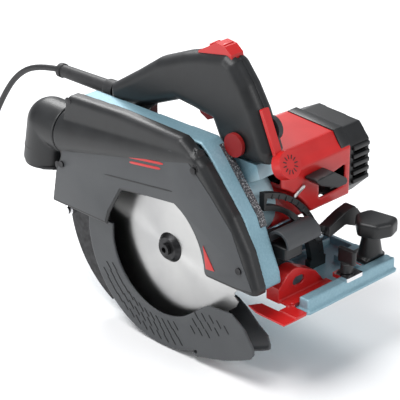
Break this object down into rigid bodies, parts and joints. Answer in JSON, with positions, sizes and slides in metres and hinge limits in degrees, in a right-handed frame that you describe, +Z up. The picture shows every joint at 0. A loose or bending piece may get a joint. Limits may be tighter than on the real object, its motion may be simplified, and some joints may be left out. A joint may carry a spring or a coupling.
{
  "type": "circular saw",
  "caption": "Corded circular saw with a swinging blade guard, riving knife, tilting ribbed sole, closed top handle, side motor and dust elbow.",
  "frame": {"origin": "on the sole's underside, under the arbor axis, 100 mm to the motor side of the cut line", "axes": "+X forward along the cut, +Y towards the motor side, +Z up"},
  "size_m": [0.8373, 0.264, 0.3955],
  "materials": {
    "alloy_blue": "satin",
    "black_plastic": "matt, lightly grained",
    "grey_plastic": "matt",
    "red_plastic": "satin",
    "soft_grip": "soft",
    "steel": "brushed",
    "chrome": "polished",
    "dark_steel": "blackened",
    "copper": "plain",
    "cord_rubber": "matt",
    "board": "gloss",
    "brass": "plain"
  },
  "bodies": {
    "base": {"sole_plate": "alloy_blue", "front_arc": "black_plastic", "rear_arc": "black_plastic", "chip_guard": "red_plastic", "front_knob": "black_plastic", "guide_clamps": "chrome"},
    "wing_front": {"wing_screw_front": "black_plastic"},
    "wing_rear": {"wing_screw_rear": "black_plastic"},
    "carriage": {"carriage": "black_plastic", "pivot_pin": "steel", "depth_grip": "grey_plastic", "clamp_bolts": "chrome"},
    "bevel_lever": {"bevel_lever": "black_plastic"},
    "saw_unit": {"guard_housing": "alloy_blue", "guard_cover": "grey_plastic", "cover_screws": "dark_steel", "scale_strip": "grey_plastic", "gear_case": "alloy_blue", "bearing_plate": "alloy_blue", "bearings": "steel", "motor_housing": "red_plastic", "motor_end": "black_plastic", "stator": "dark_steel", "brushes": "brass", "handle_right": "black_plastic", "handle_left": "black_plastic", "switch_box": "black_plastic", "control_board": "board", "trigger_pin": "steel", "dial_pin": "steel", "knife_pin": "steel", "strain_relief": "cord_rubber", "mains_cord": "cord_rubber", "cord_coil": "cord_rubber", "cord_tie": "black_plastic", "plug": "cord_rubber", "plug_pins": "chrome"},
    "arbor": {"arbor_shaft": "steel", "arbor_gear": "steel", "inner_flange": "steel", "outer_flange": "dark_steel", "blade_bolt": "dark_steel", "saw_blade": "steel"},
    "layshaft": {"layshaft": "steel", "layshaft_gear": "steel"},
    "armature": {"armature_shaft": "steel", "armature_core": "dark_steel", "commutator": "copper", "fan": "grey_plastic"},
    "lower_guard": {"lower_guard": "black_plastic"},
    "knife": {"riving_knife": "dark_steel", "knife_bolt": "chrome"},
    "dust_elbow": {"dust_elbow": "black_plastic"},
    "trigger": {"trigger": "red_plastic"},
    "lockoff_button": {"lockoff_button": "red_plastic"},
    "spindle_button": {"spindle_button": "red_plastic"},
    "select_lever": {"select_lever": "red_plastic"},
    "speed_dial": {"speed_dial": "soft_grip"},
    "depth_lever": {"depth_lever": "black_plastic"}
  },
  "joints": [
    {"name": "bevel_tilt", "type": "hinge", "parent": "base", "child": "carriage", "pos_m": [0, -0.1, 0], "axis": [1, 0, 0], "range_deg": [0, 45]},
    {"name": "depth_swing", "type": "hinge", "parent": "carriage", "child": "saw_unit", "pos_m": [-0.14, -0.06, 0.034], "axis": [0, -1, 0], "range_deg": [0, 38]},
    {"name": "blade_spin", "type": "hinge", "parent": "saw_unit", "child": "arbor", "pos_m": [0, -0.1, 0.0305], "axis": [0, -1, 0], "continuous": true},
    {"name": "layshaft_spin", "type": "hinge", "parent": "saw_unit", "child": "layshaft", "pos_m": [0.02604, -0.06, 0.05953], "axis": [0, -1, 0], "continuous": true},
    {"name": "armature_spin", "type": "hinge", "parent": "saw_unit", "child": "armature", "pos_m": [0.0636, 0.02, 0.1014], "axis": [0, -1, 0], "continuous": true},
    {"name": "guard_swing", "type": "hinge", "parent": "saw_unit", "child": "lower_guard", "pos_m": [0, -0.1, 0.0305], "axis": [0, 1, 0], "range_deg": [0, 132], "stiffness_Nm_per_rad": 0.25, "springref_deg": -68.75},
    {"name": "knife_flip", "type": "hinge", "parent": "saw_unit", "child": "knife", "pos_m": [-0.168, -0.1, 0.053], "axis": [0, 1, 0], "range_deg": [0, 60], "stiffness_Nm_per_rad": 0.5, "springref_deg": -28.65},
    {"name": "elbow_swivel", "type": "hinge", "parent": "saw_unit", "child": "dust_elbow", "pos_m": [-0.18, -0.105, 0.134], "axis": [1, 0, 0], "range_deg": [-60, 85]},
    {"name": "trigger_pull", "type": "hinge", "parent": "saw_unit", "child": "trigger", "pos_m": [0.041, -0.058, 0.213], "axis": [0, 1, 0], "range_deg": [0, 9], "stiffness_Nm_per_rad": 1.5, "springref_deg": -11.46},
    {"name": "lockoff_press", "type": "slide", "parent": "saw_unit", "child": "lockoff_button", "axis": [0, 0, -1], "range_m": [0, 0.003], "stiffness_N_per_m": 400, "springref_m": -0.002},
    {"name": "spindle_press", "type": "slide", "parent": "saw_unit", "child": "spindle_button", "axis": [0, 1, 0], "range_m": [0, 0.0015], "stiffness_N_per_m": 500, "springref_m": -0.002},
    {"name": "select_turn", "type": "hinge", "parent": "saw_unit", "child": "select_lever", "pos_m": [0.13993, -0.058, 0.17082], "axis": [0.9097, 0, 0.4153], "range_deg": [0, 14]},
    {"name": "dial_turn", "type": "hinge", "parent": "saw_unit", "child": "speed_dial", "pos_m": [0.112, -0.046, 0.206], "axis": [0, -1, 0], "range_deg": [0, 270]},
    {"name": "depth_lever_lift", "type": "hinge", "parent": "saw_unit", "child": "depth_lever", "pos_m": [0.111, 0.052, 0.1035], "axis": [0, 1, 0], "range_deg": [0, 15]},
    {"name": "bevel_lever_turn", "type": "hinge", "parent": "carriage", "child": "bevel_lever", "pos_m": [0.132, 0.01316, 0.05766], "axis": [1, 0, 0], "range_deg": [0, 20]},
    {"name": "wing_front_turn", "type": "hinge", "parent": "base", "child": "wing_front", "pos_m": [0.184, 0.012, 0.03], "axis": [0, 0, 1], "continuous": true},
    {"name": "wing_rear_turn", "type": "hinge", "parent": "base", "child": "wing_rear", "pos_m": [-0.124, 0.06, 0.024], "axis": [0, 0, 1], "continuous": true}
  ],
  "couplings": [
    {"joint": "layshaft_spin", "follows": "blade_spin", "ratio": -1.8889},
    {"joint": "armature_spin", "follows": "blade_spin", "ratio": 7.5556}
  ]
}
